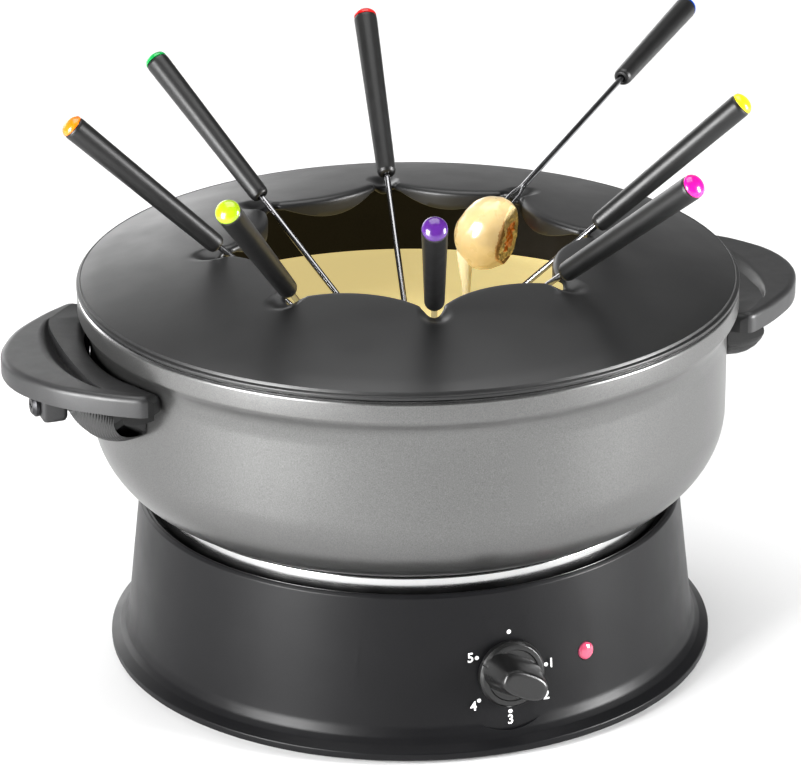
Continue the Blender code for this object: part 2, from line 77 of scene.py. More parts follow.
def principled(name, colour, roughness, metallic=0.0, mottle=(0.0, 60.0), grain=None,
               rough_spread=0.0, **sockets):
    """A Principled material with colour mottling and a fine bump.

    mottle is (share of brightness, texture scale per metre); grain is
    (scale per metre, height in mm, share of brightness that follows it).
    """
    mat = bpy.data.materials.new(name)
    mat.use_nodes = True
    tree = mat.node_tree
    bsdf = tree.nodes["Principled BSDF"]
    bsdf.inputs["Base Color"].default_value = (*colour, 1.0)
    bsdf.inputs["Roughness"].default_value = roughness
    bsdf.inputs["Metallic"].default_value = metallic
    for key, value in sockets.items():
        bsdf.inputs[key.replace("_", " ")].default_value = value
    coords = node(tree, "ShaderNodeTexCoord").outputs["Object"]
    share, scale = mottle
    shade = spread(tree, noise_at(tree, coords, scale, 3.0), 1.0 - share, 1.0 + share)
    if grain:
        fine = noise_at(tree, coords, grain[0], 2.0, 0.6)
        flecks = spread(tree, fine, 1.0 - grain[2], 1.0 + grain[2])
        both = node(tree, "ShaderNodeMath", operation="MULTIPLY")
        tree.links.new(shade, both.inputs[0])
        tree.links.new(flecks, both.inputs[1])
        shade = both.outputs[0]
        bump = node(tree, "ShaderNodeBump", Strength=1.0, Distance=grain[1] * MM)
        tree.links.new(fine, bump.inputs["Height"])
        tree.links.new(bump.outputs["Normal"], bsdf.inputs["Normal"])
    tint = node(tree, "ShaderNodeVectorMath", operation="SCALE")
    tint.inputs[0].default_value = colour
    tree.links.new(shade, tint.inputs["Scale"])
    tree.links.new(tint.outputs["Vector"], bsdf.inputs["Base Color"])
    if rough_spread:
        wear = noise_at(tree, coords, scale * 2.3, 4.0)
        tree.links.new(spread(tree, wear, roughness - rough_spread, roughness + rough_spread),
                       bsdf.inputs["Roughness"])
    return mat


RING_BLACK = principled("ring_enamel", (0.004, 0.004, 0.0042), 0.41, mottle=(0.10, 25.0),
                        grain=(1500.0, 0.008, 0.30), rough_spread=0.03)
STAND_BLACK = principled("stand_plastic", (0.005, 0.005, 0.0055), 0.36, mottle=(0.08, 30.0),
                         grain=(1700.0, 0.006, 0.20), rough_spread=0.03,
                         Specular_IOR_Level=0.15)
KNOB_BLACK = principled("knob_plastic", (0.006, 0.006, 0.006), 0.30, mottle=(0.06, 80.0),
                        grain=(2400.0, 0.003, 0.15), rough_spread=0.03)
HANDLE_BLACK = principled("handle_phenolic", (0.014, 0.014, 0.0145), 0.42, mottle=(0.10, 60.0),
                          grain=(1900.0, 0.012, 0.25), rough_spread=0.04)
BRACKET_BLACK = principled("bracket_phenolic", (0.014, 0.014, 0.014), 0.45, mottle=(0.08, 60.0),
                           grain=(1900.0, 0.010, 0.20), rough_spread=0.04)
BOWL_GREY = principled("bowl_enamel", (0.145, 0.145, 0.143), 0.30, 0.90, mottle=(0.03, 12.0),
                       grain=(2600.0, 0.004, 0.22), rough_spread=0.02)
BOWL_INSIDE = principled("bowl_nonstick", (0.0045, 0.0034, 0.0034), 0.45, mottle=(0.15, 30.0),
                         grain=(1400.0, 0.010, 0.45), rough_spread=0.04,
                         Specular_IOR_Level=0.20)
RIM_METAL = principled("bowl_rim", (0.62, 0.62, 0.62), 0.22, 1.0, mottle=(0.04, 40.0),
                       rough_spread=0.03)
CHROME = principled("ring_steel", (0.50, 0.50, 0.50), 0.20, 1.0, mottle=(0.03, 40.0),
                    rough_spread=0.03)
CASTING = principled("plate_casting", (0.34, 0.34, 0.35), 0.42, 1.0, mottle=(0.10, 50.0),
                     grain=(1200.0, 0.010, 0.15), rough_spread=0.06)
ZINC = principled("zinc", (0.46, 0.47, 0.47), 0.36, 1.0, mottle=(0.12, 90.0),
                  rough_spread=0.08)
DARK_ZINC = principled("zinc_blackened", (0.035, 0.035, 0.037), 0.42, 0.9, mottle=(0.12, 90.0),
                       rough_spread=0.06)
HEATED_STEEL = principled("element_sheath", (0.25, 0.22, 0.20), 0.45, 1.0, mottle=(0.25, 45.0),
                          rough_spread=0.08)
FORK_STEEL = principled("fork_stainless", (0.30, 0.30, 0.31), 0.23, 1.0, mottle=(0.03, 60.0),
                        rough_spread=0.03)
FORK_BLACK = principled("fork_plastic", (0.004, 0.004, 0.004), 0.40, mottle=(0.08, 80.0),
                        grain=(2200.0, 0.006, 0.20), rough_spread=0.03)
RUBBER = principled("rubber", (0.020, 0.020, 0.020), 0.75, mottle=(0.15, 90.0),
                    grain=(1500.0, 0.02, 0.2))
CERAMIC = principled("ceramic", (0.66, 0.62, 0.54), 0.55, mottle=(0.08, 80.0),
                     grain=(1800.0, 0.01, 0.06))
INSULATION = principled("insulation", (0.50, 0.44, 0.34), 0.50, mottle=(0.10, 60.0),
                        grain=(1500.0, 0.01, 0.08))
LENS_RED = principled("lens_clear_red", (0.42, 0.05, 0.10), 0.12, mottle=(0.15, 300.0),
                      Coat_Weight=0.6, Coat_Roughness=0.03, Emission_Color=(0.8, 0.22, 0.38, 1.0),
                      Emission_Strength=0.10)
LAMP_GLASS = principled("lamp_glass", (0.80, 0.55, 0.35), 0.10, mottle=(0.1, 200.0))
MARK_WHITE = principled("dial_ink", (0.80, 0.80, 0.80), 0.45, mottle=(0.04, 500.0))
MARK_GREY = principled("index_ink", (0.10, 0.10, 0.10), 0.4, mottle=(0.04, 500.0))
# Painted light: the cheese's emission is a painted glow standing in for light falling on it
# through the ring's opening.
CHEESE = principled("melted_cheese_painted_glow", (0.93, 0.76, 0.33), 0.34, mottle=(0.07, 22.0),
                    grain=(320.0, 0.12, 0.03), rough_spread=0.06, Subsurface_Weight=0.12,
                    Subsurface_Radius=(0.004, 0.002, 0.001), Coat_Weight=0.15,
                    Emission_Color=(1.0, 0.80, 0.34, 1.0), Emission_Strength=0.66)
COATING = principled("cheese_coating", (0.60, 0.44, 0.21), 0.30, mottle=(0.10, 75.0),
                     grain=(260.0, 0.10, 0.03), rough_spread=0.05, Subsurface_Weight=0.2,
                     Subsurface_Radius=(0.005, 0.003, 0.0015), Coat_Weight=0.5,
                     Coat_Roughness=0.08)
DRIP = principled("cheese_drip", (0.80, 0.72, 0.50), 0.15, mottle=(0.05, 75.0),
                  Subsurface_Weight=0.3, Subsurface_Radius=(0.004, 0.003, 0.002),
                  Coat_Weight=0.5)
CRUMB = principled("bread_crumb", (0.80, 0.62, 0.30), 0.75, mottle=(0.25, 260.0),
                   grain=(700.0, 0.5, 0.25))
CRUST = principled("bread_crust", (0.42, 0.22, 0.07), 0.60, mottle=(0.35, 200.0),
                   grain=(600.0, 0.4, 0.25))
ORANGE_BIT = principled("orange_filling", (0.90, 0.24, 0.01), 0.30, mottle=(0.18, 220.0),
                        grain=(500.0, 0.2, 0.15), Coat_Weight=0.4)
FLOOR = principled("floor_paper", (0.80, 0.80, 0.80), 0.85, mottle=(0.01, 1.5))

CAP_COLOURS = {
    "purple": (0.060, 0.012, 0.150), "magenta": (0.700, 0.005, 0.230),
    "yellow": (0.720, 0.600, 0.010), "blue": (0.010, 0.090, 0.500),
    "red": (0.480, 0.010, 0.010), "green": (0.005, 0.250, 0.050),
    "orange": (0.800, 0.150, 0.004), "lime": (0.270, 0.400, 0.006),
}


def cap_material(colour):
    return principled("cap_" + colour, CAP_COLOURS[colour], 0.22, mottle=(0.05, 150.0),
                      Coat_Weight=0.3, Coat_Roughness=0.08, rough_spread=0.02)


# ------------------------------------------------------------------- geometry
def piece(name, verts, faces, materials, body, nodes=(), angle=32.0,
          face_slots=None):
    """A shown piece from millimetre points, riding on `body`."""
    mesh = bpy.data.meshes.new(name)
    mesh.from_pydata([tuple(c * MM for c in v) for v in verts], [], faces)
    for mat in materials if isinstance(materials, (list, tuple)) else [materials]:
        mesh.materials.append(mat)
    if face_slots is not None:
        mesh.polygons.foreach_set("material_index", face_slots)
    tidy_mesh(mesh, angle)
    obj = add_object(name, mesh)
    if body:
        settle(obj, body, nodes)
    return obj


def add_object(name, data):
    obj = bpy.data.objects.new(name, data)
    bpy.context.scene.collection.objects.link(obj)
    return obj


def tidy_mesh(mesh, angle=32.0):
    bm = bmesh.new()
    bm.from_mesh(mesh)
    bmesh.ops.remove_doubles(bm, verts=bm.verts, dist=1e-7)
    bmesh.ops.recalc_face_normals(bm, faces=bm.faces)
    if bm.calc_volume(signed=True) < 0:
        bmesh.ops.reverse_faces(bm, faces=bm.faces)
    bm.to_mesh(mesh)
    bm.free()
    mesh.shade_smooth()
    mesh.set_sharp_from_angle(angle=math.radians(angle))


def settle(obj, body, nodes=()):
    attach(obj, body)
    if nodes:
        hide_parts(*nodes)


def rounded(points, radius, steps=4, closed=True):
    """Round a profile's corners; `radius` is one number or one per point."""
    n, out = len(points), []
    for i, p in enumerate(points):
        r = radius[i] if isinstance(radius, (list, tuple)) else radius
        if r <= 0.0 or (not closed and i in (0, n - 1)):
            out.append(tuple(p))
            continue
        here = Vector(p)
        to_last = Vector(points[i - 1]) - here
        to_next = Vector(points[(i + 1) % n]) - here
        reach = min(to_last.length, to_next.length) * 0.45
        a, b = to_last.normalized(), to_next.normalized()
        angle = a.angle(b)
        if angle > math.radians(176.0):
            out.append(tuple(p))
            continue
        trim = min(r / math.tan(angle / 2.0), reach)
        start, end = here + a * trim, here + b * trim
        for k in range(steps + 1):
            t = k / steps
            q = start * (1 - t) ** 2 + here * 2 * t * (1 - t) + end * t * t
            out.append(tuple(q))
    return out


def lathe(profile, segments, place=None, closed=True):
    """Points and faces of a profile of (radius, height) turned about local Z."""
    verts, rows, faces = [], [], []
    for radius, height in profile:
        if radius < 1e-9:
            rows.append([len(verts)] * segments)
            verts.append((0.0, 0.0, height))
            continue
        rows.append(list(range(len(verts), len(verts) + segments)))
        for k in range(segments):
            a = 2.0 * math.pi * k / segments
            verts.append((radius * math.cos(a), radius * math.sin(a), height))
    pairs = list(zip(rows, rows[1:]))
    if closed:
        pairs.append((rows[-1], rows[0]))
    for lower, upper in pairs:
        for k in range(segments):
            m = (k + 1) % segments
            quad = [lower[k], lower[m], upper[m], upper[k]]
            faces.append([v for i, v in enumerate(quad) if v not in quad[:i]])
    if place is not None:
        verts = [tuple(place @ Vector(v)) for v in verts]
    return verts, faces


def loft(sections, place=None, ring=False):
    """Skin outlines of equal point count: a capped solid, or a closed ring."""
    n, count = len(sections[0]), len(sections)
    verts = [tuple(p) for section in sections for p in section]
    faces = []
    if not ring:
        faces += [list(range(n)), list(range(len(verts) - n, len(verts)))]
    for s in range(count if ring else count - 1):
        t = (s + 1) % count
        for k in range(n):
            m = (k + 1) % n
            faces.append([s * n + k, s * n + m, t * n + m, t * n + k])
    if place is not None:
        verts = [tuple(place @ Vector(v)) for v in verts]
    return verts, faces


def prism(outline, z0, z1, place):
    """A plan outline raised from z0 to z1."""
    return loft([[(x, y, z) for x, y in outline] for z in (z0, z1)], place)


def merged(*shapes):
    verts, faces = [], []
    for v, f in shapes:
        faces += [[i + len(verts) for i in face] for face in f]
        verts += v
    return verts, faces


def combine(target, other, operation, angle=32.0):
    """Boolean `other` into `target`, drop it and shade the result again."""
    mod = target.modifiers.new(operation, "BOOLEAN")
    mod.operation, mod.solver, mod.object = operation, "EXACT", other
    bpy.context.view_layer.update()
    graph = bpy.context.evaluated_depsgraph_get()
    mesh = bpy.data.meshes.new_from_object(target.evaluated_get(graph))
    target.modifiers.remove(mod)
    target.data = mesh
    bpy.data.objects.remove(other, do_unlink=True)
    mesh.shade_smooth()
    mesh.set_sharp_from_angle(angle=math.radians(angle))


def tool(shapes, material):
    """A shape that a Boolean uses up."""
    verts, faces = merged(*shapes)
    return piece("cutter", verts, faces, material, None)


def axis_frame(origin, axis, side):
    z = Vector(axis).normalized()
    x = Vector(side)
    x = (x - z * x.dot(z)).normalized()
    rot = Matrix((x, z.cross(x), z)).transposed().to_4x4()
    return Matrix.Translation(Vector(origin)) @ rot


def polar(radius, degrees, z):
    a = math.radians(degrees)
    return (radius * math.cos(a), radius * math.sin(a), z)


def shifted(radius, degrees):
    return Matrix.Translation(polar(radius, degrees, 0.0))


def rod(radius, z0, z1, sides, place=None):
    return lathe([(0.0, z0), (radius, z0), (radius, z1), (0.0, z1)], sides, place, False)


def smooth_step(x):
    x = min(max(x, 0.0), 1.0)
    return x * x * (3.0 - 2.0 * x)


# ---------------------------------------------------------------------- stand
WALL_SLOPE, WALL_R0, WALL_Z0 = 0.1143, 115.7, 21.0
DIAL_TILT = math.atan(WALL_SLOPE)
SCREW_AZ, SCREW_CIRCLE_R = (30.0, 150.0, 240.0), 109.0
FOOT_AZ, FOOT_CIRCLE_R = (45.0, 135.0, 225.0, 315.0), 96.0


def wall_frame(azimuth, height, inset=0.0):
    """Frame on the stand's wall: local Z out of it, local Y up it."""
    radius = WALL_R0 - (height - WALL_Z0) * WALL_SLOPE - inset
    out = (math.cos(azimuth) * math.cos(DIAL_TILT), math.sin(azimuth) * math.cos(DIAL_TILT),
           math.sin(DIAL_TILT))
    across = (-math.sin(azimuth), math.cos(azimuth), 0.0)
    return axis_frame((radius * math.cos(azimuth), radius * math.sin(azimuth), height),
                      out, across)


DIAL = wall_frame(math.radians(-90.0), 32.0, inset=0.3)
LAMP = wall_frame(math.radians(-72.7), 33.0)
INLET = wall_frame(math.radians(90.0), 26.0)
DIAL_PAD_R = 23.5


def build_housing():
    profile = [
        (122.8, 1.2), (124.0, 2.0), (124.0, 4.6), (120.3, 6.8), (118.2, 9.0),
        (116.8, 12.5), (115.7, 21.0), (110.7, 64.8), (109.6, 66.3), (108.0, 65.6),
        (107.4, 60.0), (101.5, 60.0), (101.5, 57.5), (108.5, 57.5), (112.6, 21.0),
        (114.0, 11.0), (118.0, 5.9), (120.9, 4.7), (120.9, 1.2),
    ]
    radii = (0.5, 0.5, 0.9, 3.0, 4.0, 9.0, 20.0, 1.0, 0.8, 0.8, 1.0, 0.4, 0.4, 1.0,
             9.0, 5.0, 2.0, 0.5, 0.3)
    verts, faces = lathe(rounded(profile, radii, 5), 216)
    housing = piece("housing", verts, faces, STAND_BLACK, None)
    spots = [shifted(SCREW_CIRCLE_R, az) for az in SCREW_AZ]
    posts = [rod(4.6, 4.4, 40.0, 24, spot) for spot in spots]
    combine(housing, tool(posts, STAND_BLACK), "UNION")
    screw_holes = [rod(2.1, 2.0, 20.0, 16, spot) for spot in spots]
    dial_pad = rod(DIAL_PAD_R, 0.0, 25.0, 128, DIAL)
    wall_holes = [rod(5.3, -12.0, -0.5, 40, DIAL), rod(3.8, -12.0, 5.0, 40, LAMP),
                  rod(6.0, -12.0, 5.0, 40, INLET)]
    combine(housing, tool(screw_holes + [dial_pad], STAND_BLACK), "DIFFERENCE")
    combine(housing, tool(wall_holes, STAND_BLACK), "DIFFERENCE")
    settle(housing, "base", ["base_housing"])


def build_stand_metal():
    dish = [
        (25.0, 50.0), (96.5, 50.0), (96.5, 60.3), (105.2, 60.3), (105.2, 70.8),
        (104.1, 71.2), (104.1, 61.3), (95.4, 61.3), (95.4, 51.1), (25.0, 51.1),
    ]
    radii = (0.2, 0.9, 0.5, 1.6, 0.4, 0.3, 0.6, 1.4, 0.4, 0.2)
    verts, faces = lathe(rounded(dish, radii, 5), 192)
    obj = piece("drip_dish", verts, faces, CHROME, None)
    leads = [rod(4.2, 40.0, 55.0, 32, shifted(60.0, az)) for az in (80.0, 100.0)]
    combine(obj, tool(leads, CHROME), "DIFFERENCE")
    settle(obj, "base", ["reflector_dish"])

    plate = [(0.0, 64.0), (84.0, 64.0), (84.0, 51.4), (88.0, 51.4), (88.0, 68.7),
             (87.0, 69.7)]
    groove = []
    for k in range(8):
        r = 80.0 - 9.0 * k
        groove += [(r + 0.8, 69.7), (r + 0.4, 69.2), (r - 0.4, 69.2), (r - 0.8, 69.7)]
    verts, faces = lathe(rounded(plate + groove + [(0.0, 69.7)], 0.35, 3, closed=False),
                         160, closed=False)
    piece("hot_plate", verts, faces, CASTING, "base", ["heating_plate"])


def build_feet():
    for i, az in enumerate(FOOT_AZ, 1):
        profile = [(0.0, 0.0), (6.2, 0.0), (7.0, 0.8), (7.0, 1.9), (2.7, 1.9), (2.7, 4.2),
                   (4.2, 4.2), (3.2, 6.0), (0.0, 6.0)]
        verts, faces = lathe(rounded(profile, 0.4, 3, closed=False), 48,
                             shifted(FOOT_CIRCLE_R, az), False)
        piece("rubber_foot_%d" % i, verts, faces, RUBBER, "base", ["foot_%d" % i])
    for i, az in enumerate(SCREW_AZ, 1):
        profile = [(0.0, 0.8), (3.6, 0.8), (3.9, 1.3), (3.9, 1.9), (1.8, 1.9),
                   (1.8, 15.0), (0.0, 16.5)]
        cross_head("plate_screw_%d" % i, profile, shifted(SCREW_CIRCLE_R, az), 0.8, 1.0,
                   "base", "base_screw_%d" % i)


def cross_head(name, profile, place, face_z, way, body, cad_node, mat=ZINC):
    """A screw with a cross recess in its head.

    face_z is the height of the head's face and `way` points from it into the head.
    """
    verts, faces = lathe(rounded(profile, 0.25, 3, closed=False), 40, place, False)
    screw = piece(name, verts, faces, mat, None)
    bar = [(-1.9, -0.35), (1.9, -0.35), (1.9, 0.35), (-1.9, 0.35)]
    levels = sorted((face_z - 0.6 * way, face_z + 0.7 * way))
    for turn in (0.0, math.pi / 2):
        spin = place @ Matrix.Rotation(turn, 4, "Z")
        combine(screw, tool([prism(bar, *levels, spin)], mat), "DIFFERENCE")
    settle(screw, body, [cad_node])


# ------------------------------------------------------------------- controls
KNOB_TURN = math.radians(-27.0)
MARK_DOT_R = 0.85
DIGIT_HEIGHT = 3.9
# dial marks in the pad's own X and Y: dot centre, digit centre, digit
DIAL_MARKS = (
    ((0.4, 16.4), None, ""),
    ((15.3, 0.5), (17.5, 0.9), "1"),
    ((12.4, -10.6), (15.0, -11.9), "2"),
    ((-0.2, -16.3), (-0.3, -19.6), "3"),
    ((-13.0, -9.8), (-15.4, -11.7), "4"),
    ((-13.2, 7.8), (-15.8, 8.3), "5"),
)


def build_dial_marks():
    discs = []
    for dot, _, _ in DIAL_MARKS:
        place = DIAL @ Matrix.Translation((dot[0], dot[1], 0.0))
        discs.append(lathe([(0.0, -0.05), (MARK_DOT_R, -0.05), (MARK_DOT_R, 0.05), (0.0, 0.05)],
                           32, place, False))
    verts, faces = merged(*discs)
    piece("dial_dots", verts, faces, MARK_WHITE, "base")
    for _, centre, digit in DIAL_MARKS:
        if not digit:
            continue
        text = bpy.data.curves.new("digit_" + digit, "FONT")
        text.body, text.size, text.extrude, text.offset = digit, 1.0, 0.008, 0.018
        maker = add_object("digit_maker", text)
        bpy.context.view_layer.update()
        mesh = bpy.data.meshes.new_from_object(
            maker.evaluated_get(bpy.context.evaluated_depsgraph_get()))
        bpy.data.objects.remove(maker, do_unlink=True)
        points = [Vector(v.co) for v in mesh.vertices]
        low = [min(p[i] for p in points) for i in range(3)]
        high = [max(p[i] for p in points) for i in range(3)]
        middle = Vector([(a + b) / 2 for a, b in zip(low, high)])
        grow = DIGIT_HEIGHT / (high[1] - low[1])
        place = DIAL @ Matrix.Translation((centre[0], centre[1], 0.0))
        for vertex, p in zip(mesh.vertices, points):
            q = (p - middle) * grow
            vertex.co = (place @ Vector((q.x, q.y, q.z * 1.6))) * MM
        mesh.materials.clear()
        mesh.materials.append(MARK_WHITE)
        tidy_mesh(mesh)
        settle(add_object("dial_digit_" + digit, mesh), "base")


def grip_sections():
    """Rounded bar of the knob: a flared foot, leaning sides, a soft top edge."""
    levels = (
        (4.2, 12.7, 8.2), (4.9, 12.5, 7.8), (6.2, 12.2, 7.5), (9.0, 11.5, 6.9),
        (13.0, 10.6, 6.0), (16.4, 9.8, 5.4), (17.5, 9.5, 5.1), (18.1, 9.1, 4.6),
        (18.4, 8.4, 3.8), (18.45, 7.2, 2.6),
    )
    out = []
    for z, half, width in levels:
        section = []
        for k in range(72):
            a = 2.0 * math.pi * k / 72
            c, s = math.cos(a), math.sin(a)
            section.append((half * math.copysign(abs(c) ** 0.72, c),
                            width * math.copysign(abs(s) ** 0.78, s), z))
        out.append(section)
    return out


def build_controls():
    skirt = [(0.0, 0.7), (13.0, 0.7), (13.4, 1.1), (13.4, 3.3), (12.4, 4.7), (10.6, 4.9),
             (10.2, 4.5), (0.0, 4.9)]
    radii = (0.0, 0.2, 0.2, 0.5, 0.6, 0.2, 0.3, 0.0)
    verts, faces = lathe(rounded(skirt, radii, 4, closed=False), 120, DIAL, False)
    knob = piece("dial_knob", verts, faces, [KNOB_BLACK, MARK_GREY], None)
    turn = DIAL @ Matrix.Rotation(KNOB_TURN, 4, "Z")
    combine(knob, tool([loft(grip_sections(), turn)], KNOB_BLACK), "UNION", 40.0)
    combine(knob, tool([rod(10.4, -1.0, 3.5, 64, DIAL)], KNOB_BLACK), "DIFFERENCE", 40.0)
    combine(knob, tool([rod(3.3, -1.0, 13.4, 40, DIAL)], KNOB_BLACK), "DIFFERENCE", 40.0)
    notch = turn @ Matrix.Translation((-12.4, 0.0, 4.5))
    line = [(-1.6, -0.55), (1.0, -0.55), (1.0, 0.55), (-1.6, 0.55)]
    combine(knob, tool([prism(line, -1.4, 1.5, notch)], MARK_GREY), "DIFFERENCE", 40.0)
    settle(knob, "knob", ["knob"])

    lens = rounded([(0.0, -4.6), (5.0, -4.6), (5.0, -3.5), (3.5, -3.5), (3.5, 0.5),
                    (2.8, 1.1), (1.5, 1.5), (0.0, 1.6)],
                   (0, 0.2, 0.2, 0.1, 0.3, 0.8, 1.0, 0), 4, closed=False)
    verts, faces = lathe(lens, 64, LAMP, False)
    piece("lamp_lens", verts, faces, LENS_RED, "base", ["indicator_lens"])
    grommet = rounded([(3.2, -9.0), (7.4, -8.2), (7.4, -3.9), (5.7, -3.9), (5.7, 0.3),
                       (8.2, 0.3), (7.4, 3.2), (3.2, 4.0)], 0.5, 4)
    verts, faces = lathe(grommet, 64, INLET)
    piece("inlet_grommet", verts, faces, RUBBER, "base", ["cord_inlet"])


# ----------------------------------------------------------------------- bowl
BOWL_R, BOWL_FLAT_R, BOWL_TURN_Z, BOWL_FLOOR_Z = 128.5, 93.0, 104.0, 70.0
BOWL_INNER_R, BOWL_INNER_Z = 125.9, 74.0
TURN_STEPS = 22
HANDLE_SCREW_Z = 122.5


def side_place(side):
    """Turns the right side's shapes to the side handle at `side`, +1 or -1 along X."""
    return Matrix.Rotation(0.0 if side > 0 else math.pi, 4, "Z")


def screw_frame(place):
    """Frame of a side handle's screw: local Z runs outwards from the bowl's axis."""
    return axis_frame(place @ Vector((0.0, 0.0, HANDLE_SCREW_Z)),
                      place.to_3x3() @ Vector((1.0, 0.0, 0.0)), (0.0, 0.0, 1.0))


def bowl_inner_radius(z):
    """Inside radius of the bowl at height z."""
    if z >= BOWL_TURN_Z:
        return BOWL_INNER_R
    share = (BOWL_TURN_Z - z) / (BOWL_TURN_Z - BOWL_INNER_Z)
    return (BOWL_FLAT_R - 1.0 + (BOWL_INNER_R - BOWL_FLAT_R + 1.0)
            * math.sqrt(max(1.0 - share * share, 0.0)))


def build_bowl():
    outer = [(0.0, BOWL_FLOOR_Z), (40.0, BOWL_FLOOR_Z), (75.0, BOWL_FLOOR_Z)]
    for k in range(TURN_STEPS + 1):
        t = math.pi / 2 * (1.0 - k / TURN_STEPS)
        outer.append((BOWL_FLAT_R + (BOWL_R - BOWL_FLAT_R) * math.cos(t),
                      BOWL_TURN_Z - (BOWL_TURN_Z - BOWL_FLOOR_Z) * math.sin(t)))
    rim = rounded([(128.5, 120.0), (128.5, 135.5), (129.2, 142.0), (132.3, 146.2),
                   (132.9, 147.4), (132.9, 154.6), (131.6, 156.1), (128.6, 154.6),
                   (BOWL_INNER_R, 148.0), (BOWL_INNER_R, 120.0)],
                  (0, 30.0, 8.0, 3.0, 1.0, 1.2, 1.6, 2.5, 8.0, 0), 5, closed=False)
    inner = []
    for k in range(TURN_STEPS + 1):
        t = math.pi / 2 * k / TURN_STEPS
        inner.append((BOWL_FLAT_R - 1.0 + (BOWL_INNER_R - BOWL_FLAT_R + 1.0) * math.cos(t),
                      BOWL_TURN_Z - (BOWL_TURN_Z - BOWL_INNER_Z) * math.sin(t)))
    inner += [(60.0, BOWL_INNER_Z), (30.0, BOWL_INNER_Z), (0.0, BOWL_INNER_Z)]
    profile = outer + rim + inner
    segments = 240
    verts, faces = lathe(profile, segments, closed=False)
    top = max(range(len(profile)), key=lambda i: profile[i][1])
    slots = []
    for f in faces:
        row = f[0] // segments if f[0] else 0
        height = sum(verts[i][2] for i in f) / len(f)
        inside = sum(math.hypot(*verts[i][:2]) for i in f) / len(f)
        if height > 154.9 and inside > 129.5:
            slots.append(2)
        elif height > 72.0 and (inside < bowl_inner_radius(height) + 0.6 or row > top):
            slots.append(1)
        else:
            slots.append(0)
    bowl = piece("pan", verts, faces, [BOWL_GREY, BOWL_INSIDE, RIM_METAL], None,
                 face_slots=slots)
    lugs, bores = [], []
    outline = rounded([(127.3, -9.0), (136.0, -9.0), (136.0, 9.0), (127.3, 9.0)],
                      (0, 1.2, 1.2, 0), 3)
    for side in (1.0, -1.0):
        place = side_place(side)
        lugs.append(prism(outline, 115.0, 130.0, place))
        bores.append(rod(2.3, 129.6, 140.0, 32, screw_frame(place)))
    combine(bowl, tool(lugs, BOWL_GREY), "UNION")
    combine(bowl, tool(bores, BOWL_GREY), "DIFFERENCE")
    settle(bowl, "bowl", ["bowl"])


# -------------------------------------------------------------------- handles
WING_HALF = (
    (167.5, 0.0), (167.2, 5.5), (166.2, 11.0), (164.4, 16.5), (161.7, 22.0),
    (157.9, 28.5), (153.2, 34.6), (146.4, 41.2), (138.6, 47.8), (131.8, 52.5),
    (127.8, 54.8), (125.2, 55.0), (122.4, 53.6),
)
WING_TOP, WING_LOW = 142.3, 134.1
WING_REACH = 55.0              # the wing's half length
WING_EDGE = 2.4                # rounding of the wing's upper edge
RIDGE_X, RIDGE_Y, SCOOP_WIDE, SCOOP_DEEP = 142.6, 39.0, 6.6, 4.6


def curve_through(points, per_span=6):
    """Catmull-Rom curve through plan points."""
    out = []
    for i in range(len(points) - 1):
        p0 = Vector(points[max(i - 1, 0)])
        p1, p2 = Vector(points[i]), Vector(points[i + 1])
        p3 = Vector(points[min(i + 2, len(points) - 1)])
        for k in range(per_span):
            t = k / per_span
            out.append(0.5 * (2 * p1 + (p2 - p0) * t + (2 * p0 - 5 * p1 + 4 * p2 - p3) * t * t
                              + (3 * p1 - p0 - 3 * p2 + p3) * t ** 3))
    return out + [Vector(points[-1])]


def wing_grid():
    """Plan grid of the wing: rows along it, columns from the bowl outwards."""
    outer_half = curve_through([(WING_HALF[1][0], -WING_HALF[1][1])] + list(WING_HALF[:12]))[6:]
    outer = [(v.x, -v.y) for v in outer_half[::-1]] + [(v.x, v.y) for v in outer_half[1:]]
    rows = []
    for x, y in outer:
        share = y / WING_REACH
        deg = 23.4 * share
        inner = Vector(polar(131.5 - 2.1 * share * share, deg, 0.0)[:2])
        if abs(share) > 0.985:
            inner = Vector((122.4, math.copysign(53.6, share)))
        rows.append((inner, Vector((x, y))))
    return rows


